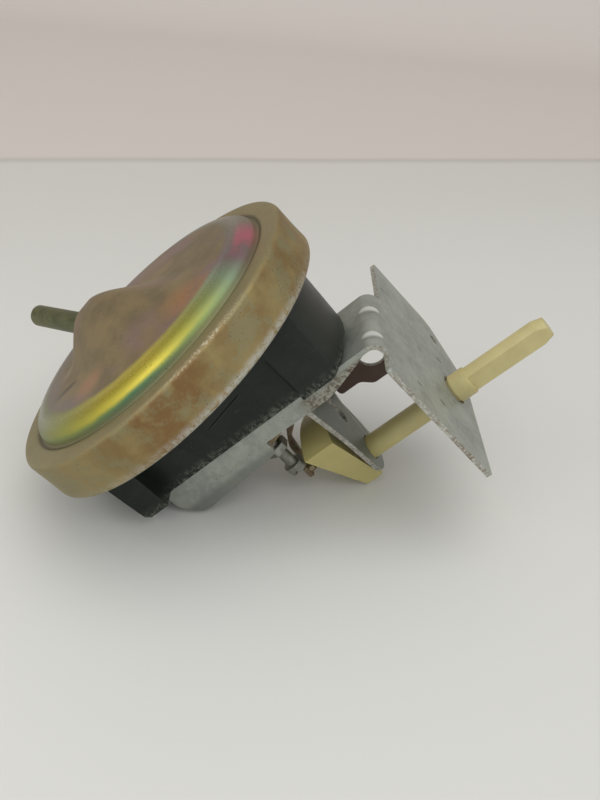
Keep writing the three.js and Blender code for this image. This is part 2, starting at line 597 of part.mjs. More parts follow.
// The near side of the cam is one flat face from the lobe's corner to the foot of the hub.
const aroundShaft = (radius, angle) => [
  SHAFT_Y - radius * Math.sin(rad(angle)), SHAFT_Z + radius * Math.cos(rad(angle)),
];
const lobeCorner = aroundShaft(LOBE_R, LOBE_NEAR);
const hubFoot = aroundShaft(HUB_R, HUB_FOOT);
function nearWedge() {
  const shape = new THREE.Shape([lobeCorner, hubFoot, [SHAFT_Y + 1, SHAFT_Z]].map((p) => new THREE.Vector2(...p)));
  const geometry = new THREE.ExtrudeGeometry(shape, { depth: HUB_X[1] - HUB_X[0], bevelEnabled: false });
  const p = geometry.attributes.position;
  for (let i = 0; i < p.count; i += 1) {
    const atCorner = Math.hypot(p.getX(i) - lobeCorner[0], p.getY(i) - lobeCorner[1]) < 0.01;
    if (atCorner && p.getZ(i) < 0.01) p.setZ(i, -LOBE_RISE);
  }
  const basis = AXES.x.map((v) => new THREE.Vector3(...v));
  geometry.applyMatrix4(new THREE.Matrix4().makeBasis(...basis));
  geometry.translate(HUB_X[0], 0, 0);
  return solid(geometry);
}
const faceRun = new THREE.Vector2(hubFoot[0] - lobeCorner[0], hubFoot[1] - lobeCorner[1]);
const beyond = (share) => [lobeCorner[0] + faceRun.x * share, lobeCorner[1] + faceRun.y * share];
const nearFace = prism('x', [
  beyond(0.05), beyond(2), [lobeCorner[0] - LOBE_R, beyond(2)[1]], [lobeCorner[0] - LOBE_R, beyond(0.05)[1]],
], HUB_X[0] - LOBE_RISE - 1, HUB_X[1] + 0.05);

const dFlat = box([PLATE_X + 5, SHAFT_TIP + 1], [SHAFT_Y - 6, SHAFT_Y - D_R + 0.9], [SHAFT_Z - 5, SHAFT_Z + 5]);
const camShaft = cut(join(
  bar(onShaft(HUB_X[0]), onShaft(HUB_X[1]), HUB_R, 40),
  lobeRing(HUB_R - 3, RAMP_R, 0, LOBE_RISE),
  lobeRing(RAMP_R - 0.05, LOBE_R, LOBE_RISE, LOBE_RISE),
  nearWedge(),
  bar(onShaft(HUB_X[1] - 0.1), onShaft(PLATE_X + 0.6), SHAFT_R, 28),
  bar(onShaft(PLATE_X + 0.5), onShaft(PLATE_X + 4.5), COLLAR_R, 28),
  bar(onShaft(PLATE_X + 4.4), onShaft(SHAFT_TIP - 2.5), D_R, 28),
  bar(onShaft(SHAFT_TIP - 2.6), onShaft(SHAFT_TIP), D_R, 28, D_R - 0.7),
), dFlat, nearFace);
add('cam_shaft', camShaft, ...NYLON);

// ---- Snap switch --------------------------------------------------------------------------------------------
const [commonT, ncT, noT] = TERMINALS;
const BLADE_T = 0.3;
const BLADE_W = 5;
const bladeFrom = commonT.x - TERMINAL_W / 2 + 0.4;
const nearBlade = [BLADE_Y - 5, BLADE_Y - 5 + BLADE_W];
const bladeLow = BLADE_Z;
const rivetX = commonT.x;
const rivetY = (nearBlade[0] + nearBlade[1]) / 2;
add('snap_blade', cut(
  box([bladeFrom, CONTACT_X + 2], nearBlade, [bladeLow, bladeLow + BLADE_T]),
  bar([rivetX, rivetY, bladeLow - 1], [rivetX, rivetY, bladeLow + 1], 0.9 + GAP * 0.5, 16),
  bar([CONTACT_X, rivetY, bladeLow - 1], [CONTACT_X, rivetY, bladeLow + 1], 0.8 + GAP * 0.5, 16),
), ...COPPER);

const CONTACT_R = 1.5;
const button = (z0, z1) => bar([CONTACT_X, rivetY, z0], [CONTACT_X, rivetY, z1], CONTACT_R, 18);
add('moving_contact', join(
  bar([CONTACT_X, rivetY, bladeLow - GAP - 0.1], [CONTACT_X, rivetY, bladeLow + BLADE_T + GAP + 0.1], 0.8, 16),
  button(bladeLow - GAP - 0.6, bladeLow - GAP),
  button(bladeLow + BLADE_T + GAP, bladeLow + BLADE_T + GAP + 0.4),
), 0xc9c6bd, 0.25, 1);

const commonZ = [commonT.z - TERMINAL_T / 2, commonT.z + TERMINAL_T / 2];
function spade({ x, z }, yFrom) {
  const half = TERMINAL_W / 2;
  const plate = prism('z', [
    [x - half, yFrom], [x + half, yFrom], [x + half, terminalOut, 1.6], [x - half, terminalOut, 1.6],
  ], z - TERMINAL_T / 2, z + TERMINAL_T / 2);
  const eye = bar([x, terminalOut - 3.5, z - 1], [x, terminalOut - 3.5, z + 1], 0.9, 16);
  return cut(plate, eye);
}
add('terminal_common', cut(
  spade(commonT, nearBlade[0]),
  bar([rivetX, rivetY, commonZ[0] - 1], [rivetX, rivetY, commonZ[1] + 1], 0.9 + GAP * 0.5, 16),
), ...COPPER);
add('terminal_nc', spade(ncT, terminalIn), ...COPPER);
add('terminal_no', spade(noT, terminalIn), ...COPPER);
add('blade_rivet', join(
  bar([rivetX, rivetY, commonZ[0] - GAP], [rivetX, rivetY, bladeLow + BLADE_T + GAP], 0.9, 16),
  bar([rivetX, rivetY, commonZ[0] - GAP - 0.6], [rivetX, rivetY, commonZ[0] - GAP], 1.6, 16),
  bar([rivetX, rivetY, bladeLow + BLADE_T + GAP], [rivetX, rivetY, bladeLow + BLADE_T + GAP + 0.6], 1.6, 16),
), ...COPPER);

// Fixed contact strips run from their terminals to the moving contact.
const ncFace = bladeLow + BLADE_T + GAP + 0.4 + GAP;
const noFace = bladeLow - GAP - 0.6 - CONTACT_GAP;
function fixedContact(terminal, face, towards) {
  const low = terminal.z - TERMINAL_T / 2;
  const high = terminal.z + TERMINAL_T / 2;
  const y = [terminalIn - GAP - 1.2, terminalIn - GAP];
  const stripZ = towards > 0 ? [face + 0.5, face + 1.1] : [face - 1.1, face - 0.5];
  const run = box([Math.min(terminal.x, CONTACT_X) - 2, CONTACT_X + 2], [y[1] - 3.6, y[1]], stripZ);
  const strip = run.add(box([CONTACT_X - 2, CONTACT_X + 2], [nearBlade[0], y[1]], stripZ));
  const post = box([terminal.x - 2, terminal.x + 2], y, [Math.min(low, stripZ[0]), Math.max(high, stripZ[1])]);
  const pad = towards > 0 ? button(face, face + 0.7) : button(face - 0.7, face);
  return join(strip, post, pad);
}
add('contact_nc', fixedContact(ncT, ncFace, 1), ...COPPER);
add('contact_no', fixedContact(noT, noFace, -1), ...COPPER);

// ---- Laid down: the body's lower rim and the cam hub touch the surface -----------------------------------
const lowCorner = new THREE.Vector2(BODY_DRAFT - BODY_R, bodyBottom + 1);
const lowHub = new THREE.Vector2(HUB_X[0], SHAFT_Z - HUB_R);
const restTilt = Math.atan2(lowCorner.y - lowHub.y, lowHub.x - lowCorner.x);
upright.rotation.y = -restTilt;
const assembly = new THREE.Group();
assembly.add(upright);
assembly.updateMatrixWorld(true);
const bounds = new THREE.Box3().setFromObject(assembly, true);
const middle = bounds.getCenter(new THREE.Vector3());
upright.position.set(-middle.x, -middle.y, -bounds.min.z);

export default assembly;
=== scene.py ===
"""Looks for the diaphragm pressure switch: a passivated steel cap on a black moulded body, held by a folded
zinc bracket that carries a nylon cam shaft, a range lever and its adjusting screw. Lengths in the panel are
metres. The cap is modelled upright in millimetres, with its axis on Z and the shaft along X, and then placed;
the other pieces start from their CAD solids."""

import json
import math

import bmesh
import bpy
from bpy.props import FloatProperty, FloatVectorProperty, IntProperty
from mathutils import Matrix, Vector


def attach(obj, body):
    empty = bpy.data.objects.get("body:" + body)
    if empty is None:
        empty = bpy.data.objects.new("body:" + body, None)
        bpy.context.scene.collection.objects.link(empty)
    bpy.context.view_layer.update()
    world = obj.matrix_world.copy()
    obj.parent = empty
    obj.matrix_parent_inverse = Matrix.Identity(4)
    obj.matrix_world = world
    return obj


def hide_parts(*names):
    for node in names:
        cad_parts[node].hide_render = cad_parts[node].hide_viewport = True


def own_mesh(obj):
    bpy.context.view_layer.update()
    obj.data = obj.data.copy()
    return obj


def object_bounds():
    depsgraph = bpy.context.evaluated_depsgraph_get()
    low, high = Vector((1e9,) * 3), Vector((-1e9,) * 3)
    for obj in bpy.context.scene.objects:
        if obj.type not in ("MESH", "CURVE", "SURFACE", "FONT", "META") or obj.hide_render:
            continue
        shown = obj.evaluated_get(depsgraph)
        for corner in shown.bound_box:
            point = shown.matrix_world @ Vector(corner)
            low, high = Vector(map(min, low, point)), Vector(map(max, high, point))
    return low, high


bl_info = {
    "name": "Diaphragm switch looks",
    "version": (1, 0, 0),
    "blender": (4, 5, 0),
    "location": "View3D > Sidebar > Switch",
    "description": "Builds the finish of a diaphragm pressure switch round its CAD frame",
    "category": "Object",
}

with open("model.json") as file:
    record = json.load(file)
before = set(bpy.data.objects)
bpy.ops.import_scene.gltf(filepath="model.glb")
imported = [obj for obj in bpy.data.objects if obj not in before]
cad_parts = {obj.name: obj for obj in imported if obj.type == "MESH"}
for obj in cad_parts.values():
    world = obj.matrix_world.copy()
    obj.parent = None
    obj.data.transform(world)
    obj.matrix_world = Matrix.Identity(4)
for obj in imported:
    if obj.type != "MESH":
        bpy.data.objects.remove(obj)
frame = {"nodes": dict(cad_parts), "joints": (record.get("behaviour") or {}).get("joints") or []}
CAD_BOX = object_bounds()
MM = 0.001

# ---- The upright frame, taken from the joints ----------------------------------------------------
JOINTS = {joint["name"]: joint for joint in frame["joints"]}
ALONG = Vector(JOINTS["shaft_turn"]["axis"]).normalized()
DISC = Vector(JOINTS["plate_travel"]["axis"]).normalized()
ACROSS = DISC.cross(ALONG).normalized()


def span(node, axis, origin):
    """Lowest and highest reach of a CAD node along an axis, in millimetres from the origin."""
    reach = [axis.dot(v.co - origin) / MM for v in frame["nodes"][node].data.vertices]
    return min(reach), max(reach)


SCREW_POINT = Vector(JOINTS["screw_turn"]["pos_m"])
CRIMP_PLANE = span("diaphragm_cap", DISC, SCREW_POINT)[0] * MM
ORIGIN = SCREW_POINT + DISC * CRIMP_PLANE
TURN = Matrix((ALONG, ACROSS, DISC)).transposed()
UPRIGHT = Matrix.Translation(ORIGIN) @ TURN.to_4x4() @ Matrix.Scale(MM, 4)


def reach_of(node):
    """Spans of a CAD node along the shaft, across it and along the cap's axis, in upright millimetres."""
    return [span(node, axis, ORIGIN) for axis in (ALONG, ACROSS, DISC)]


CAP_RADIUS = reach_of("diaphragm_cap")[1][1]


# ---- Sizes and colours a user would change -------------------------------------------------------
def length(name, description, default):
    return FloatProperty(name=name, description=description, default=default, min=0, unit="LENGTH")


def shade(name, description, default):
    return FloatVectorProperty(name=name, description=description, default=default, size=3,
                               min=0, max=1, subtype="COLOR")


class SwitchSizes(bpy.types.PropertyGroup):
    band_height: length("Band height", "Crimped edge to the cap's flat ring", 0.0108)
    dome_rise: length("Dome rise", "Flat ring to the top of the shoulder", 0.0035)
    dome_radius: length("Dome radius", "Radius at the foot of the shoulder", 0.0332)
    shoulder_radius: length("Shoulder radius", "Radius where the shoulder meets the crown", 0.0276)
    crown_rise: length("Crown rise", "Rise of the crown at its middle", 0.0014)
    hump_height: length("Hump height", "Height of the hump over the crown", 0.0074)
    hump_half: length("Hump half width", "Half width of the hump at its foot", 0.015)
    wall: length("Cap wall", "Thickness of the pressed cap", 0.0008)
    steps: IntProperty(name="Steps", description="Steps round a turned piece", default=144, min=24, max=360)
    edge: length("Edge round", "Rounding of sheared and moulded edges", 0.00022)


class SwitchColours(bpy.types.PropertyGroup):
    crown: shade("Crown", "Olive brown of the crown and hump", (0.215, 0.165, 0.09))
    band: shade("Band", "Ochre passivation on the band", (0.31, 0.235, 0.095))
    moulding: shade("Moulding", "Black of the moulded body", (0.0085, 0.0115, 0.0082))
    zinc: shade("Zinc", "Grey of the zinc-plated bracket", (0.36, 0.38, 0.33))
    nylon: shade("Nylon", "Aged cream of the shaft and cam", (0.53, 0.455, 0.21))
    floor: shade("Floor", "Pale floor and backdrop", (0.69, 0.685, 0.64))


def sizes():
    return bpy.context.scene.switch_sizes


def colours():
    return bpy.context.scene.switch_colours


# ---- Shader expressions --------------------------------------------------------------------------
class Field:
    """A socket in a material's tree; arithmetic on it adds Math nodes."""

    def __init__(self, look, socket):
        self.look = look
        self.socket = socket

    def _math(self, operation, *values):
        return self.look.node("ShaderNodeMath", {"operation": operation}, *values)

    def __add__(self, other):
        return self._math("ADD", self, other)

    def __sub__(self, other):
        return self._math("SUBTRACT", self, other)

    def __rsub__(self, other):
        return self._math("SUBTRACT", other, self)

    def __mul__(self, other):
        return self._math("MULTIPLY", self, other)

    __radd__ = __add__

    def absolute(self):
        return self._math("ABSOLUTE", self)

    def least(self, other):
        return self._math("MINIMUM", self, other)

    def most(self, other):
        return self._math("MAXIMUM", self, other)

    def step(self, low, high):
        """0 below low, 1 above high, smooth between; a high under low turns it round."""
        turned = high < low
        low, high = min(low, high), max(low, high)
        settings = {"interpolation_type": "SMOOTHSTEP"}
        made = self.look.node("ShaderNodeMapRange", settings, self, low, high, 0, 1)
        return 1 - made if turned else made

    def near(self, middle, half):
        """1 at middle, falling smoothly to 0 at half to either side."""
        return (self - middle).absolute().step(half, 0)


class Look:
    """One material under construction."""

    def __init__(self, name):
        self.material = bpy.data.materials.new(name)
        self.material.use_nodes = True
        self.tree = self.material.node_tree
        self.shader = self.tree.nodes["Principled BSDF"]
        self.place = self.node("ShaderNodeTexCoord", {}, output="Object")

    def node(self, kind, settings, *values, output=None, **named):
        """Adds a node, sets its settings, then its sockets by order or by name; returns its output."""
        made = self.tree.nodes.new(kind)
        for key, value in settings.items():
            if key == "stops":
                self._stops(made.color_ramp, value)
            else:
                setattr(made, key, value)
        sockets = list(zip([s for s in made.inputs if s.enabled], values))
        sockets += [(made.inputs[key.replace("_", " ")], value) for key, value in named.items()]
        for socket, value in sockets:
            self.put(socket, value)
        shown = [s for s in made.outputs if s.enabled]
        return Field(self, made.outputs[output] if output else shown[0])

    @staticmethod
    def _stops(ramp, stops):
        while len(ramp.elements) < len(stops):
            ramp.elements.new(1)
        for element, (position, colour) in zip(ramp.elements, stops):
            element.position = position
            element.color = (*colour, 1)

    def put(self, socket, value):
        if isinstance(value, Field):
            self.tree.links.new(value.socket, socket)
        elif socket.type == "RGBA" and not hasattr(value, "__len__"):
            socket.default_value = (value, value, value, 1)
        elif socket.type == "RGBA":
            socket.default_value = (*tuple(value)[:3], 1)
        else:
            socket.default_value = value

    def upright(self):
        """Place on the object in upright millimetres."""
        settings = {"vector_type": "TEXTURE"}
        euler = TURN.to_euler()
        return self.node("ShaderNodeMapping", settings, self.place, ORIGIN, euler, (MM, MM, MM))

    def axes(self, vector):
        parts = self.node("ShaderNodeSeparateXYZ", {}, vector)
        outputs = parts.socket.node.outputs
        return [Field(self, outputs[i]) for i in range(3)]

    def stretch(self, vector, scale):
        return self.node("ShaderNodeVectorMath", {"operation": "MULTIPLY"}, vector, scale)

    def length(self, vector):
        return self.node("ShaderNodeVectorMath", {"operation": "LENGTH"}, vector, output="Value")

    def distance(self, vector, point):
        return self.node("ShaderNodeVectorMath", {"operation": "DISTANCE"}, vector, point, output="Value")

    def egg(self, vector, middle, scale):
        """Distance from a middle, with each axis scaled, so that 1 is an egg-shaped limit round it."""
        shifted = self.node("ShaderNodeVectorMath", {"operation": "SUBTRACT"}, vector, middle)
        return self.length(self.stretch(shifted, scale))

    def grain(self, vector, scale, detail=4, rough=0.55, distortion=0):
        return self.node("ShaderNodeTexNoise", {}, Vector=vector, Scale=scale, Detail=detail, Roughness=rough,
                         Distortion=distortion, output=0)

    def specks(self, vector, scale, size):
        """1 inside small round dots scattered through the space, 0 elsewhere."""
        distance = self.node("ShaderNodeTexVoronoi", {}, Vector=vector, Scale=scale, Randomness=1,
                             output="Distance")
        return distance.step(size, size * 0.4)

    def mix(self, factor, first, second, blend="MIX"):
        settings = {"data_type": "RGBA", "blend_type": blend, "clamp_factor": True}
        return self.node("ShaderNodeMix", settings, factor, first, second)

    def finish(self, colour, rough, metal=0.0, bumps=(), **fixed):
        """Feeds the shader; bumps is a list of (height, distance in metres, strength), coarsest first."""
        self.put(self.shader.inputs["Base Color"], colour)
        self.put(self.shader.inputs["Roughness"], rough)
        self.put(self.shader.inputs["Metallic"], metal)
        normal = None
        for height, distance, strength in bumps:
            sockets = {"Height": height, "Distance": distance, "Strength": strength}
            if normal:
                sockets["Normal"] = normal
            normal = self.node("ShaderNodeBump", {}, **sockets)
        if normal:
            self.put(self.shader.inputs["Normal"], normal)
        for key, value in fixed.items():
            self.put(self.shader.inputs[key.replace("_", " ")], value)
        return self.material


def times(colour, factor):
    return tuple(channel * factor for channel in colour)


# ---- Materials -----------------------------------------------------------------------------------
# The chromate film's colour round the shoulder, from half a turn behind the shaft and back to it.
FILM = (
    (0.0, (0.22, 0.19, 0.14)), (0.09, (0.2, 0.21, 0.1)), (0.165, (0.3, 0.3, 0.06)),
    (0.235, (0.5, 0.42, 0.05)), (0.3, (0.56, 0.47, 0.06)), (0.345, (0.42, 0.4, 0.07)),
    (0.385, (0.31, 0.36, 0.13)), (0.42, (0.24, 0.31, 0.2)), (0.45, (0.2, 0.15, 0.15)),
    (0.49, (0.2, 0.15, 0.13)), (0.54, (0.19, 0.17, 0.11)), (0.7, (0.2, 0.18, 0.11)),
    (1.0, (0.22, 0.19, 0.14)),
)


# Places on the switch, in upright millimetres.
BLUSH_AT = (20, -16, 16)
SPOT_AT = (-9, -20, 15)
HUMP_SHADE_AT = (-18.2, -12.6, 15)
GUSSETS_Y = (-5.6, 6.2)
BEND_X, BEND_Z = 39.0, -20.3


def passivated_cap():
    """Pressed steel with rainbow chromate: brown crown, gold shoulder, teal foot, ochre band and worn lip,
    with painted shade along the hump's foot and in the shoulder's groove, and a painted highlight on the near
    rounded corner.
    """
    look = Look("passivated_cap")
    at = look.upright()
    x, y, z = look.axes(at)
    radius = look.length(look.stretch(at, (1, 1, 0)))
    s = sizes()
    dome = s.dome_radius / MM
    shoulder = s.shoulder_radius / MM
    ring_z = s.band_height / MM
    wide = look.grain(at, 0.035, 3)
    cloud = look.grain(at, 0.11, 5, 0.6)
    fine = look.grain(at, 1.6, 4, 0.65)

    crown = colours().crown
    brown = look.mix(cloud.step(0.34, 0.66), times(crown, 0.88), (0.265, 0.2, 0.1))
    brown = look.mix(wide.step(0.5, 0.62) * 0.5, brown, (0.27, 0.165, 0.125))
    mauve = look.grain(at, 0.07, 3).step(0.5, 0.62) * radius.step(12, 24)
    brown = look.mix(mauve * 0.5, brown, (0.24, 0.17, 0.17))
    blush = look.distance(at, BLUSH_AT).step(9, 2) * cloud.step(0.3, 0.55)
    brown = look.mix(blush * 0.7, brown, (0.38, 0.19, 0.08))
    brown = look.mix(look.distance(at, SPOT_AT).step(6, 1) * 0.7, brown, (0.45, 0.24, 0.13))
    # A dark patch along the foot of the hump's steep side is painted shade, broken up by the cloud.
    shading_spot = look.egg(at, HUMP_SHADE_AT, (0.2, 0.62, 0.2)).step(1, 0.5)
    brown = look.mix(shading_spot * cloud.step(0.3, 0.5) * 0.7, brown, (0.09, 0.065, 0.045))
    ashen = radius.step(20, 27) * (x * -1).step(2, 16)
    brown = look.mix(ashen * 0.55, brown, (0.23, 0.2, 0.18))

    # Round the shoulder the film runs from olive through gold, green and violet to rose; its foot is teal.
    around = look.node("ShaderNodeMath", {"operation": "ARCTAN2"}, y, x)
    film = radius + (cloud - 0.5) * 1.6
    bow = look.node("ShaderNodeValToRGB", {"stops": FILM}, around * (0.5 / math.pi) + 0.5, output="Color")
    gold = look.mix(film.step(shoulder - 1.2, shoulder + 0.9), brown, bow)
    teal = (radius + (cloud - 0.5) * 0.7).step(dome - 0.9, dome - 0.1) * around.near(-1.45, 1.25)
    gold = look.mix(teal, gold, (0.05, 0.17, 0.085))
    rose = around.near(-0.06, 0.34) * film.step(shoulder + 1.8, shoulder + 3.2) * cloud.step(0.3, 0.5)
    gold = look.mix(rose, gold, (0.44, 0.13, 0.17))

    # The ring and the band are ochre with brown stains, and the crimped lip is worn to grey.
    band = look.mix(cloud.step(0.35, 0.65), colours().band, times(colours().band, 0.82))
    stain = wide.step(0.46, 0.62) * cloud.step(0.36, 0.6)
    stain = (stain * 0.6 + around.near(-1.4, 0.55) * cloud.step(0.3, 0.6)).least(1.0)
    band = look.mix(stain * 0.85, band, (0.2, 0.105, 0.035))
    khaki = look.grain(at, 0.16, 5, 0.7).step(0.48, 0.6)
    band = look.mix(khaki * 0.6, band, (0.24, 0.225, 0.12))
    band = look.mix((x * -1).step(10, 30) * 0.6, band, (0.23, 0.2, 0.095))
    ring = look.mix(cloud.step(0.3, 0.7), (0.24, 0.205, 0.105), (0.3, 0.255, 0.13))
    on_top = z.step(ring_z - 0.9, ring_z - 0.2) * radius.step(dome - 0.4, dome + 0.2)
    outside = radius.step(dome + 0.1, dome + 0.7)
    colour = look.mix(outside, gold, band)
    colour = look.mix(on_top * 0.75, colour, ring)
    # The groove at the shoulder's foot is painted dark: painted shade.
    groove_shade = radius.near(dome + 0.7, 1.0) * z.step(ring_z - 1.6, ring_z - 0.5)
    colour = look.mix(groove_shade * 0.75, colour, (0.07, 0.055, 0.03))
    worn = z.step(2.6, 0.5) * outside
    worn = worn * (around.near(-1.0, 1.1) * 0.9 + 0.35)
    scuffed = (worn * look.grain(at, 0.75, 6, 0.75).step(0.36, 0.56)).least(1.0)
    colour = look.mix(scuffed * 0.85, colour, (0.42, 0.41, 0.35))
    # Along the near rounded corner of the ring runs a painted highlight, broken up by grain.
    corner = radius.near(CAP_RADIUS - 0.5, 0.9) * z.near(ring_z - 0.45, 0.8)
    corner_highlight = corner * around.near(-0.97, 0.42) * look.grain(at, 1.6, 4, 0.7).step(0.46, 0.62)
    colour = look.mix(corner_highlight * 0.7, colour, (0.62, 0.57, 0.42))

    dirt = look.specks(at, 1.3, 0.2) * look.grain(at, 0.16, 3).step(0.5, 0.6)
    colour = look.mix(dirt * 0.8, colour, (0.05, 0.035, 0.02))
    pits = look.specks(at, 0.9, 0.2) * around.near(-0.25, 0.5) * outside * cloud.step(0.4, 0.55)
    colour = look.mix(pits * 0.8, colour, (0.08, 0.04, 0.015))
    colour = look.mix(fine.step(0.62, 0.8) * 0.25, colour, (0.5, 0.45, 0.34), "SCREEN")

    shine = radius.near(shoulder + 2.4, 3.6)
    rough = 0.46 - shine * 0.27 + fine * 0.12 + scuffed * 0.14 + dirt * 0.2
    metal = 0.62 + shine * 0.2 - dirt * 0.4 - scuffed * 0.25
    return look.finish(colour, rough, metal, [(cloud, 0.0004, 0.12), (fine, 0.00009, 0.3)])


def tube_steel():
    """Olive chromate on a drawn steel tube."""
    look = Look("tube_steel")
    at = look.upright()
    cloud = look.grain(at, 0.35, 4)
    fine = look.grain(look.stretch(at, (1, 1, 0.4)), 2.4, 4)
    colour = look.mix(cloud.step(0.35, 0.65), (0.09, 0.1, 0.045), (0.15, 0.15, 0.07))
    colour = look.mix(fine.step(0.55, 0.75) * 0.5, colour, (0.28, 0.26, 0.14))
    dirt = look.specks(at, 1.1, 0.18)
    colour = look.mix(dirt * 0.6, colour, (0.03, 0.028, 0.02))
    return look.finish(colour, 0.36 + cloud * 0.2, 0.8, [(fine, 0.00008, 0.3)])


def black_moulding():
    """Black phenolic with a faint swirl, light scuffs and grey dust lying near the bracket, a painted shadow
    in the seam groove and a painted highlight on the raised rib.
    """
    look = Look("black_moulding")
    at = look.upright()
    x, y, z = look.axes(at)
    swirl = look.grain(at, 0.12, 5, 0.6, 0.6)
    fine = look.grain(at, 1.8, 5, 0.7)
    colour = look.mix(swirl.step(0.35, 0.7), colours().moulding, times(colours().moulding, 1.6))
    foot = reach_of("switch_body")[2][0]
    dust = z.step(foot + 3, foot) * look.grain(at, 1.1, 6, 0.75).step(0.46, 0.62)
    grit = look.specks(at, 1.7, 0.16) * look.grain(at, 0.16, 2).step(0.54, 0.66)
    colour = look.mix((dust * 0.5 + grit * 0.35).least(1.0), colour, (0.26, 0.26, 0.2))
    scratch = look.grain(look.stretch(at, (0.25, 0.25, 3)), 1.0, 3, 0.6).step(0.66, 0.74)
    colour = look.mix(scratch * 0.18, colour, (0.2, 0.2, 0.18))
    near = y.step(-6, -9)
    # The seam between the near panels is painted almost black, a painted shadow from the step there; it also
    # cuts the bump.
    groove_shade = x.near(19.6, 0.7) * near * z.step(-19, -17) * z.step(-6, -8)
    colour = look.mix(groove_shade * 0.8, colour, (0.004, 0.005, 0.004))
    # The raised rib is painted lighter, a painted highlight; it also raises the bump.
    rib_highlight = (z - x * 0.21 + 12.9).near(0, 0.4) * x.step(-3, -2) * x.step(9, 8) * near
    colour = look.mix(rib_highlight * 0.35, colour, (0.09, 0.1, 0.085))
    rough = 0.3 + swirl * 0.14 + dust * 0.35 + scratch * 0.1
    bumps = [(rib_highlight - groove_shade, 0.0005, 0.8), (swirl, 0.0003, 0.15), (fine, 0.00006, 0.35)]
    return look.finish(colour, rough, 0.0, bumps, Specular_IOR_Level=0.3)


def zinc_sheet():
    """Dull zinc plate with cloudy spangle, white bloom, brown grime and a few fine scratches."""
    look = Look("zinc_sheet")
    at = look.upright()
    x, y, z = look.axes(at)
    cloud = look.grain(at, 0.14, 5, 0.62)
    spangle = look.grain(at, 0.6, 3, 0.5)
    fine = look.grain(at, 3.0, 4, 0.7)
    base = colours().zinc
    colour = look.mix(cloud.step(0.32, 0.68), times(base, 0.78), times(base, 1.08))
    colour = look.mix(spangle.step(0.45, 0.7) * 0.22, colour, (0.5, 0.52, 0.48))
    colour = look.mix(fine.step(0.6, 0.78) * 0.3, colour, (0.2, 0.2, 0.16))
    grime = look.specks(at, 0.9, 0.2) * look.grain(at, 0.13, 3).step(0.45, 0.62)
    colour = look.mix(grime * 0.7, colour, (0.07, 0.06, 0.04))
    scratch = look.grain(look.stretch(at, (1, 0.12, 1.6)), 1.1, 3, 0.6).step(0.66, 0.72)
    colour = look.mix(scratch * 0.16, colour, (0.66, 0.67, 0.62))
    mark = look.specks(look.stretch(at, (1, 0.8, 0.5)), 0.16, 0.13) * x.step(38.5, 39.3)
    colour = look.mix(mark * cloud.step(0.4, 0.5) * 0.7, colour, (0.12, 0.11, 0.09))
    tan = z.step(-22, -27) * x.step(12, 6) * cloud.step(0.4, 0.6)
    colour = look.mix(tan * 0.25, colour, (0.3, 0.25, 0.15))

    # The tab is painted darker, a painted shade, the far web is rusty inside, and the lip along the arm is
    # copper under white bloom.
    tab_shade = z.step(-26, -28) * x.step(36, 34) * y.step(12, 11.5)
    colour = look.mix(tab_shade * 0.6, colour, times(base, 0.42))
    web = y.near(12.8, 0.5) * z.step(-21, -23) * x.step(38.4, 37.6) * x.step(10, 14)
    colour = look.mix(web * 0.92, colour, (0.1, 0.05, 0.035))
    lip = z.step(-21.2, -22.4) * y.step(-8.6, -9.2) * x.step(14, 20) * x.step(39, 38)
    colour = look.mix(lip * cloud.step(0.3, 0.5), colour, (0.12, 0.085, 0.055))
    crust = lip * look.grain(at, 1.3, 5, 0.75).step(0.44, 0.56)
    colour = look.mix(crust * 0.75, colour, (0.42, 0.42, 0.35))

    # Two gussets are struck across the bend; the side of each that faces the cap's far side gets a painted
    # highlight, and the other side a painted shade.
    struck = None
    for middle in GUSSETS_Y:
        shading_spot = look.egg(at, (BEND_X, middle, BEND_Z), (0.3, 0.5, 0.3)).step(1, 0.8)
        struck = shading_spot if struck is None else struck.most(shading_spot)
        colour = look.mix(shading_spot * (y - middle).step(-0.9, 0.3) * 0.85, colour, (0.72, 0.74, 0.7))
        colour = look.mix(shading_spot * (y - middle).step(-0.6, -1.0) * 0.35, colour, times(base, 0.5))
    rough = 0.44 + cloud * 0.16 - scratch * 0.1 + grime * 0.2 + (web + lip).least(1.0) * 0.2
    metal = 0.55 - grime * 0.4 - (web + lip).least(1.0) * 0.35
    return look.finish(colour, rough, metal,
                       [(struck, 0.0005, -0.6), (spangle, 0.0002, 0.12), (fine, 0.00007, 0.35)])


def sheared_edge():
    """Cut edge of the sheet: grey steel going to rust with white zinc bloom."""
    look = Look("sheared_edge")
    at = look.upright()
    rust = look.grain(at, 0.32, 5, 0.7)
    bloom = look.grain(at, 1.2, 4, 0.7)
    z = look.axes(at)[2]
    damp = rust.step(0.42, 0.62) * (z.step(-40, -62) * 0.6 + 0.4)
    colour = look.mix(damp, (0.34, 0.33, 0.28), (0.15, 0.085, 0.05))
    colour = look.mix(bloom.step(0.46, 0.6) * 0.85, colour, (0.55, 0.54, 0.47))
    return look.finish(colour, 0.6, 0.35, [(bloom, 0.00015, 0.5)])


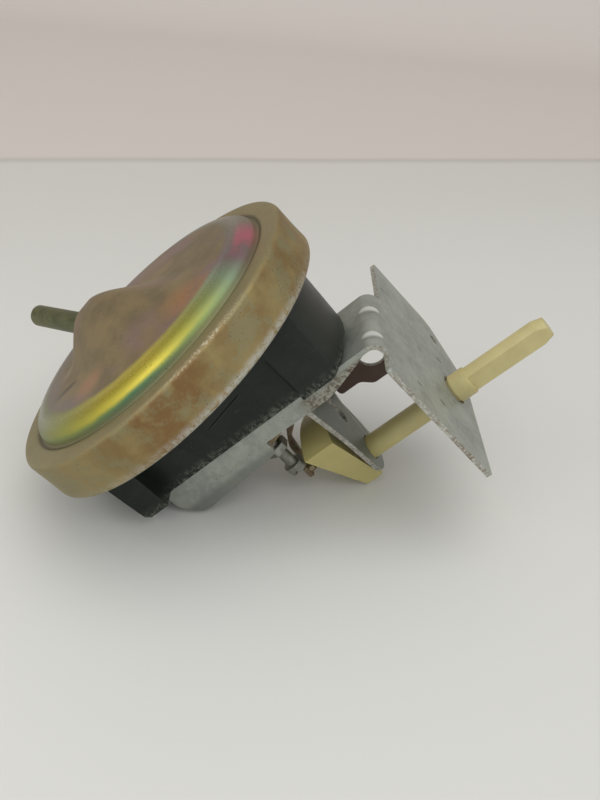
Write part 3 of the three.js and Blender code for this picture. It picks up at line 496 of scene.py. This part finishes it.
def aged_nylon():
    """Cream nylon gone yellow, more amber towards the hub, with a soft sheen and faint drag marks."""
    look = Look("aged_nylon")
    at = look.upright()
    x = look.axes(at)[0]
    cloud = look.grain(at, 0.16, 4, 0.55)
    fine = look.grain(look.stretch(at, (0.5, 2, 2)), 1.5, 4, 0.65)
    base = colours().nylon
    colour = look.mix(cloud.step(0.3, 0.7), times(base, 0.93), times(base, 1.06))
    hub = reach_of("cam_shaft")[0][0]
    amber = x.step(hub + 32, hub + 8)
    colour = look.mix(amber * 0.4, colour, (0.46, 0.4, 0.11))
    smear = look.grain(at, 0.5, 5, 0.75).step(0.56, 0.74)
    colour = look.mix(smear * 0.22, colour, (0.3, 0.23, 0.1))
    return look.finish(colour, 0.36 + fine * 0.16, 0.0, [(cloud, 0.0003, 0.12), (fine, 0.00006, 0.3)],
                       Subsurface_Weight=0.12, Subsurface_Scale=0.002, Subsurface_Radius=(1.0, 0.6, 0.25))


def plain_steel(name, light, dark, rough=0.42, metal=0.85, tint=(0.2, 0.11, 0.05)):
    """Small steel pieces: cloudy plate with fine scratches and a little tarnish."""
    look = Look(name)
    at = look.upright()
    cloud = look.grain(at, 0.4, 4)
    fine = look.grain(at, 3.2, 4, 0.7)
    colour = look.mix(cloud.step(0.35, 0.68), light, dark)
    colour = look.mix(look.grain(at, 0.8, 5, 0.75).step(0.56, 0.72) * 0.5, colour, tint)
    return look.finish(colour, rough + cloud * 0.18, metal, [(fine, 0.00006, 0.4)])


def rubber():
    """Black rubber with a fine matte grain."""
    look = Look("rubber")
    at = look.upright()
    cloud = look.grain(at, 0.3, 4)
    fine = look.grain(at, 3.5, 3, 0.7)
    colour = look.mix(cloud.step(0.3, 0.7), (0.018, 0.018, 0.017), (0.04, 0.039, 0.036))
    return look.finish(colour, 0.72 + fine * 0.12, 0.0, [(fine, 0.00008, 0.5)])


def pin_plastic():
    """Off-white acetal pin."""
    look = Look("pin_plastic")
    at = look.upright()
    cloud = look.grain(at, 0.5, 4)
    colour = look.mix(cloud.step(0.3, 0.7), (0.62, 0.58, 0.47), (0.7, 0.67, 0.58))
    return look.finish(colour, 0.4 + cloud * 0.1, 0.0, [(cloud, 0.0001, 0.3)])


# ---- Modelling helpers ---------------------------------------------------------------------------
def piece(name, mesh_in_progress, body, *materials, stands_for=(), slot=None, place=UPRIGHT):
    """Puts a finished bmesh at its place on the switch, as an object that rides on a body."""
    bmesh.ops.transform(mesh_in_progress, matrix=place, verts=mesh_in_progress.verts)
    mesh = bpy.data.meshes.new(name)
    mesh_in_progress.to_mesh(mesh)
    mesh_in_progress.free()
    mesh.shade_smooth()
    made = bpy.data.objects.new(name, mesh)
    bpy.context.scene.collection.objects.link(made)
    for material in materials:
        mesh.materials.append(material)
    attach(made, body)
    if stands_for:
        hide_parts(*stands_for)
    return made


def cad_piece(node, name, body, slot, *materials, made=None):
    """A piece that is its CAD node's own solid, where the node already is."""
    return piece(name, made or copy_of(node), body, *materials, stands_for=[node], slot=slot,
                 place=Matrix.Identity(4))


def subdivided(made, levels):
    modifier = made.modifiers.new("Smooth", "SUBSURF")
    modifier.levels = levels
    modifier.render_levels = levels
    return made


def eased(made, width, angle=30, segments=2):
    """Rounds the sharp edges of a finished piece and evens its normals."""
    bevel = made.modifiers.new("Round edges", "BEVEL")
    bevel.width = width
    bevel.segments = segments
    bevel.limit_method = "ANGLE"
    bevel.angle_limit = math.radians(angle)
    even = made.modifiers.new("Even normals", "WEIGHTED_NORMAL")
    even.weight = 80
    even.keep_sharp = True
    return made


MERGE_M = 2e-6
FLAT = math.radians(0.8)


def copy_of(node):
    """A CAD node's solid with its loose triangles merged and its flat faces whole."""
    made = bmesh.new()
    made.from_mesh(frame["nodes"][node].data)
    bmesh.ops.remove_doubles(made, verts=made.verts, dist=MERGE_M)
    bmesh.ops.dissolve_limit(made, angle_limit=FLAT, verts=made.verts, edges=made.edges)
    return made


SHEET_MM = 1.2
CORNER = math.radians(55)


def mark_cut_edges(made):
    """Gives the second material to the narrow faces where the sheet was sheared."""
    for face in made.faces:
        around = face.calc_perimeter()
        width = 2 * face.calc_area() / around / MM
        if width > SHEET_MM * 1.1 or width < SHEET_MM * 0.3:
            continue
        sharp = sum(edge.calc_length() for edge in face.edges if edge.calc_face_angle(0) > CORNER)
        if sharp > 0.3 * around:
            face.material_index = 1


def turned(profile, steps):
    """Spins a closed or pole-to-pole profile of points round the Z axis."""
    made = bmesh.new()
    points = [made.verts.new(p) for p in profile]
    lines = [made.edges.new(pair) for pair in zip(points, points[1:])]
    if (Vector(profile[0]) - Vector(profile[-1])).length < 1e-6:
        bmesh.ops.weld_verts(made, targetmap={points[-1]: points[0]})
        points = list(made.verts)
        lines = list(made.edges)
    bmesh.ops.spin(made, geom=points + lines, cent=(0, 0, 0), axis=(0, 0, 1), angle=2 * math.pi, steps=steps,
                   use_merge=True)
    bmesh.ops.remove_doubles(made, verts=made.verts, dist=1e-4)
    bmesh.ops.recalc_face_normals(made, faces=made.faces)
    return made


def arc(radius, height, bend, start, end, steps):
    """Points [radius, height] on a quarter or half round of a profile, in degrees."""
    for i in range(steps + 1):
        angle = math.radians(start + (end - start) * i / steps)
        yield radius + bend * math.cos(angle), height + bend * math.sin(angle)


def smooth_step(value, low, high):
    share = min(max((value - low) / (high - low), 0), 1)
    return share * share * (3 - 2 * share)


# ---- Cap -----------------------------------------------------------------------------------------
TUBE_SHOWS = 24.5


def tube_mouth():
    """Where the tube leaves the hump's steep side, in upright millimetres, and its level heading."""
    points = [(TURN.transposed() @ (v.co - ORIGIN)) / MM for v in frame["nodes"]["inlet_tube"].data.vertices]
    middle = sum(points, Vector()) / len(points)
    far = sorted(points, key=lambda p: -(p - middle).length)
    outer = max(far[: len(far) // 2], key=lambda p: p.z)
    near_end = [p for p in points if (p - outer).length < 8]
    far_end = [p for p in points if (p - outer).length > 12]
    tip = sum(near_end, Vector()) / len(near_end)
    root = sum(far_end, Vector()) / len(far_end)
    heading = Vector((tip.x - root.x, tip.y - root.y, 0)).normalized()
    return tip + (root - tip).normalized() * TUBE_SHOWS, heading


def hump_height(x, y, foot, heading):
    """Height of the hump over the crown: a long rise, a steep fall at the tube's foot, and rounded sides."""
    s = sizes()
    along = x * heading.x + y * heading.y
    across = y * heading.x - x * heading.y - (foot.y * heading.x - foot.x * heading.y)
    mouth = foot.x * heading.x + foot.y * heading.y
    rise = smooth_step(along, -s.shoulder_radius / MM, mouth - 10)
    fall = 1 - smooth_step(along, mouth - 6, mouth + 0.5)
    side = 1 - smooth_step(abs(across), 1.5, s.hump_half / MM)
    return s.hump_height / MM * rise * fall * side


class SWITCH_OT_cap(bpy.types.Operator):
    """Cap: turned shell with a crimped lip, and the hump pushed up out of its crown"""

    bl_idname = "switch.cap"
    bl_label = "Cap"

    def execute(self, context):
        s = sizes()
        wall = s.wall / MM
        ring_z = s.band_height / MM
        dome = s.dome_radius / MM
        shoulder = s.shoulder_radius / MM
        rise = s.dome_rise / MM
        crown = s.crown_rise / MM
        top = ring_z + rise

        def crown_points(drop):
            rings = 22
            for i in range(rings):
                r = shoulder * i / rings
                yield r, top + crown * (1 - (r / shoulder) ** 2) - drop

        def shoulder_points(drop, width):
            for i in range(9):
                angle = math.pi / 2 * i / 8
                yield shoulder + width * math.sin(angle), ring_z + rise * math.cos(angle) - drop

        outside = [
            *crown_points(0), *shoulder_points(0, dome - shoulder),
            (dome + 0.2, ring_z - 0.42), (dome + 0.6, ring_z - 0.5), (dome + 1.0, ring_z - 0.3),
            (dome + 1.3, ring_z - 0.02), (CAP_RADIUS - 2.6, ring_z),
            *arc(CAP_RADIUS - 1.4, ring_z - 1.4, 1.4, 90, 0, 7),
            (CAP_RADIUS - 0.12, ring_z * 0.5), (CAP_RADIUS - 0.05, 1.6),
            *arc(CAP_RADIUS - 0.9, 0.9, 0.9, 0, -90, 5),
            (CAP_RADIUS - 2.0, 0.0), (CAP_RADIUS - 2.3, 0.12), (CAP_RADIUS - 2.4, 0.4),
        ]
        inside = [
            (CAP_RADIUS - 2.3, wall), (CAP_RADIUS - wall - 0.3, wall), (CAP_RADIUS - wall, wall + 0.4),
            (CAP_RADIUS - wall, ring_z - wall - 0.7), (CAP_RADIUS - wall - 0.6, ring_z - wall),
            (dome + 0.5, ring_z - wall - 0.3),
            *reversed(list(shoulder_points(wall, dome - shoulder - wall))),
            *reversed(list(crown_points(wall))),
        ]
        made = turned([(r, 0, z) for r, z in outside + inside], s.steps)
        mouth, heading = tube_mouth()
        for vert in made.verts:
            reach = math.hypot(vert.co.x, vert.co.y)
            keep = 1 - smooth_step(reach, shoulder - 5, shoulder + 1)
            if keep > 0:
                vert.co.z += keep * hump_height(vert.co.x, vert.co.y, mouth, heading)
        shell = piece("cap_shell", made, "housing", passivated_cap(), stands_for=["diaphragm_cap"],
                      slot="passivated_steel")
        subdivided(shell, 1)
        return {"FINISHED"}


class SWITCH_OT_inlet(bpy.types.Operator):
    """Inlet: drawn tube with a rounded mouth and the staked collar at its foot"""

    bl_idname = "switch.inlet"
    bl_label = "Inlet tube"

    def execute(self, context):
        steel = tube_steel()
        for node, name in (("inlet_tube", "inlet_pipe"), ("tube_collar", "pipe_collar")):
            eased(cad_piece(node, name, "housing", "tube_steel", steel), 0.0003)
        return {"FINISHED"}


# ---- Body, bracket and small pieces --------------------------------------------------------------
class SWITCH_OT_body(bpy.types.Operator):
    """Body: the moulding with its edges rounded"""

    bl_idname = "switch.body"
    bl_label = "Moulded body"

    def execute(self, context):
        made = cad_piece("switch_body", "body_moulding", "housing", "black_phenolic", black_moulding())
        eased(made, 0.0004, segments=3)
        return {"FINISHED"}


class SWITCH_OT_bracket(bpy.types.Operator):
    """Bracket: folded sheet with worn, sheared edges, and the rivets that hold it"""

    bl_idname = "switch.bracket"
    bl_label = "Bracket and rivets"

    def execute(self, context):
        sheet = copy_of("mounting_bracket")
        mark_cut_edges(sheet)
        made = cad_piece("mounting_bracket", "bracket_sheet", "housing", "zinc_sheet", zinc_sheet(),
                         sheared_edge(), made=sheet)
        eased(made, sizes().edge)
        steel = plain_steel("rivet_steel", (0.4, 0.4, 0.36), (0.3, 0.3, 0.27))
        for i in range(1, 5):
            head = cad_piece(f"bracket_rivet_{i}", f"rivet_{i}", "housing", "plated_steel", steel)
            eased(head, 0.0002)
        return {"FINISHED"}


class SWITCH_OT_shaft(bpy.types.Operator):
    """Shaft: nylon shaft with its D end, collar, hub and face cam"""

    bl_idname = "switch.shaft"
    bl_label = "Cam shaft"

    def execute(self, context):
        made = cad_piece("cam_shaft", "nylon_cam", "shaft", "aged_nylon", aged_nylon())
        eased(made, 0.0003, angle=24)
        return {"FINISHED"}


class SWITCH_OT_lever(bpy.types.Operator):
    """Lever: range lever on its pin, with the adjusting screw and lock nut"""

    bl_idname = "switch.lever"
    bl_label = "Lever and screw"

    def execute(self, context):
        steel = plain_steel("screw_steel", (0.33, 0.33, 0.28), (0.2, 0.2, 0.17))
        yellow = plain_steel("lever_steel", (0.27, 0.22, 0.13), (0.17, 0.12, 0.08), 0.38, 0.75)
        rows = (
            ("range_lever", "lever_sheet", "lever", yellow, "lever_steel", sizes().edge),
            ("lever_pin", "pivot_pin", "housing", steel, "plated_steel", 0.0002),
            ("adjusting_screw", "range_screw", "screw", steel, "plated_steel", 0.00015),
            ("screw_lock_nut", "lock_nut", "lever", steel, "plated_steel", 0.00025),
        )
        for node, name, body, material, slot, width in rows:
            eased(cad_piece(node, name, body, slot, material), width)
        return {"FINISHED"}


class SWITCH_OT_insides(bpy.types.Operator):
    """Insides: the diaphragm, contacts and terminals in their CAD shape, and the spring the plate presses"""

    bl_idname = "switch.insides"
    bl_label = "Insides and terminals"

    def execute(self, context):
        steel = plain_steel("spring_steel", (0.36, 0.36, 0.33), (0.26, 0.26, 0.23))
        brass = plain_steel("brass_strip", (0.5, 0.33, 0.14), (0.4, 0.24, 0.1), 0.32, 0.95,
                            tint=(0.16, 0.07, 0.03))
        silver = plain_steel("contact_silver", (0.66, 0.65, 0.6), (0.5, 0.49, 0.45), 0.3, 1.0)
        finishes = {
            "diaphragm": rubber(), "actuator_pin": pin_plastic(), "diaphragm_plate": steel,
            "spring_seat": steel, "moving_contact": silver,
        }
        self.spring(steel)
        for node in ("snap_blade", "blade_rivet", "contact_nc", "contact_no", "terminal_common",
                     "terminal_nc", "terminal_no"):
            finishes[node] = brass
        for node, material in finishes.items():
            mesh = frame["nodes"][node].data
            mesh.materials.clear()
            mesh.materials.append(material)
        return {"FINISHED"}

    @staticmethod
    def spring(steel):
        """The range spring: its CAD coil, given a mesh of its own."""
        coil = cad_piece("range_spring", "range_coil", "housing", "plated_steel", steel)
        low, high = reach_of("range_spring")[2]
        travel = abs(JOINTS["plate_travel"]["range_m"][0]) / MM
        tuple(ORIGIN + DISC * low * MM)
        1 - travel / (high - low)
        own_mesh(coil)


# ---- Stage ---------------------------------------------------------------------------------------
# The camera's place in upright millimetres, its own axes there and its lens. The floor's far line, where a
# painted shadow line lies and the floor takes the backdrop's colour, lies HORIZON metres out in the direction
# AWAY.
CAMERA_AT = (89.6, -181.2, 62.2)
CAMERA_RIGHT = (0.7547, -0.0019, -0.656)
CAMERA_UP = (0.5521, 0.5421, 0.6335)
LENS = 41.57
AWAY = (-0.26, 0.9656)
HORIZON = 0.246


def lamp(name, energy, size, place, target, tint):
    light = bpy.data.lights.new(name, "AREA")
    light.energy = energy
    light.shape = "DISK"
    light.size = size
    light.color = tint
    made = bpy.data.objects.new(name, light)
    made.location = place
    made.rotation_euler = (Vector(target) - Vector(place)).to_track_quat("-Z", "Y").to_euler()
    bpy.context.scene.collection.objects.link(made)


class SWITCH_OT_stage(bpy.types.Operator):
    """Stage: pale floor with a curved backdrop, soft lamps and the camera"""

    bl_idname = "switch.stage"
    bl_label = "Stage"

    def execute(self, context):
        scene = context.scene
        self.floor()
        world = bpy.data.worlds.new("studio")
        scene.world = world
        world.use_nodes = True
        world.node_tree.nodes["Background"].inputs["Color"].default_value = (0.92, 0.95, 1.0, 1)
        world.node_tree.nodes["Background"].inputs["Strength"].default_value = 0.85
        middle = (CAD_BOX[0] + CAD_BOX[1]) / 2
        lamp("overhead", 1.6, 0.8, (0.1, -0.2, 0.75), middle, (1.0, 0.98, 0.94))
        lamp("side", 0.7, 0.35, (-0.45, -0.3, 0.4), middle, (1.0, 0.97, 0.92))
        self.camera(scene)
        return {"FINISHED"}

    def floor(self):
        """A floor that curves up into a backdrop well behind the switch, painted darker towards the back as
        painted shade, and in the backdrop's colour beyond a painted shadow line.
        """
        made = bmesh.new()
        half = 4.0
        bend = 0.12
        back = 0.62
        top = 2.0
        profile = [(-half, -half, 0), (-half, back - bend, 0)]
        profile += [(-half, back - bend + bend * math.sin(a), bend - bend * math.cos(a))
                    for a in (math.pi / 2 * i / 10 for i in range(1, 11))]
        profile += [(-half, back, top)]
        points = [made.verts.new(p) for p in profile]
        lines = [made.edges.new(pair) for pair in zip(points, points[1:])]
        grown = bmesh.ops.extrude_edge_only(made, edges=lines)
        moved = [g for g in grown["geom"] if isinstance(g, bmesh.types.BMVert)]
        bmesh.ops.translate(made, verts=moved, vec=(2 * half, 0, 0))
        bmesh.ops.recalc_face_normals(made, faces=made.faces)
        mesh = bpy.data.meshes.new("floor")
        made.to_mesh(mesh)
        made.free()
        mesh.shade_smooth()
        floor = bpy.data.objects.new("floor", mesh)
        bpy.context.scene.collection.objects.link(floor)
        look = Look("pale_floor")
        cloud = look.grain(look.place, 3.0, 3)
        x, y, _ = look.axes(look.place)
        depth = x * AWAY[0] + y * AWAY[1] + (cloud - 0.5) * 0.012
        tone = colours().floor
        colour = look.mix(cloud.step(0.3, 0.7), times(tone, 0.98), times(tone, 1.02))
        # The floor is painted darker towards the back: painted shade.
        colour = look.mix(depth.step(0.02, 0.24) * 0.5, colour, (0.55, 0.52, 0.47))
        colour = look.mix(depth.step(HORIZON - 0.003, HORIZON + 0.003), colour, (0.64, 0.58, 0.525))
        # A painted shadow line lies along the far line, where the backdrop meets the floor.
        colour = look.mix(depth.near(HORIZON, 0.006) * 0.45, colour, (0.4, 0.37, 0.34))
        mesh.materials.append(look.finish(colour, 0.6, 0.0))

    def camera(self, scene):
        """A steep three-quarter view with a slight roll."""
        data = bpy.data.cameras.new("camera")
        data.sensor_width = 36
        data.sensor_fit = "AUTO"
        data.lens = LENS
        camera = bpy.data.objects.new("camera", data)
        right = (TURN @ Vector(CAMERA_RIGHT)).normalized()
        up = TURN @ Vector(CAMERA_UP)
        back = right.cross(up).normalized()
        turn = Matrix((right, back.cross(right), back)).transposed().to_4x4()
        camera.matrix_world = Matrix.Translation(UPRIGHT @ Vector(CAMERA_AT)) @ turn
        scene.collection.objects.link(camera)
        scene.camera = camera
        scene.view_settings.view_transform = "Standard"


# ---- Panel and registration ----------------------------------------------------------------------
OPERATORS = (
    SWITCH_OT_cap, SWITCH_OT_inlet, SWITCH_OT_body, SWITCH_OT_bracket, SWITCH_OT_shaft, SWITCH_OT_lever,
    SWITCH_OT_insides, SWITCH_OT_stage,
)


class SWITCH_PT_looks(bpy.types.Panel):
    """Lists the sizes, colours and pieces"""

    bl_idname = "SWITCH_PT_looks"
    bl_label = "Diaphragm switch"
    bl_space_type = "VIEW_3D"
    bl_region_type = "UI"
    bl_category = "Switch"

    def draw(self, context):
        for group in (context.scene.switch_sizes, context.scene.switch_colours):
            for key in group.__annotations__:
                self.layout.prop(group, key)
        for operator in OPERATORS:
            self.layout.operator(operator.bl_idname)


CLASSES = (SwitchSizes, SwitchColours, *OPERATORS, SWITCH_PT_looks)


def register():
    for kind in CLASSES:
        bpy.utils.register_class(kind)
    bpy.types.Scene.switch_sizes = bpy.props.PointerProperty(type=SwitchSizes)
    bpy.types.Scene.switch_colours = bpy.props.PointerProperty(type=SwitchColours)


def unregister():
    del bpy.types.Scene.switch_sizes
    del bpy.types.Scene.switch_colours
    for kind in reversed(CLASSES):
        bpy.utils.unregister_class(kind)


def main():
    register()
    bpy.ops.switch.cap()
    bpy.ops.switch.inlet()
    bpy.ops.switch.body()
    bpy.ops.switch.bracket()
    bpy.ops.switch.shaft()
    bpy.ops.switch.lever()
    bpy.ops.switch.insides()
    bpy.ops.switch.stage()


if __name__ == "__main__":
    main()
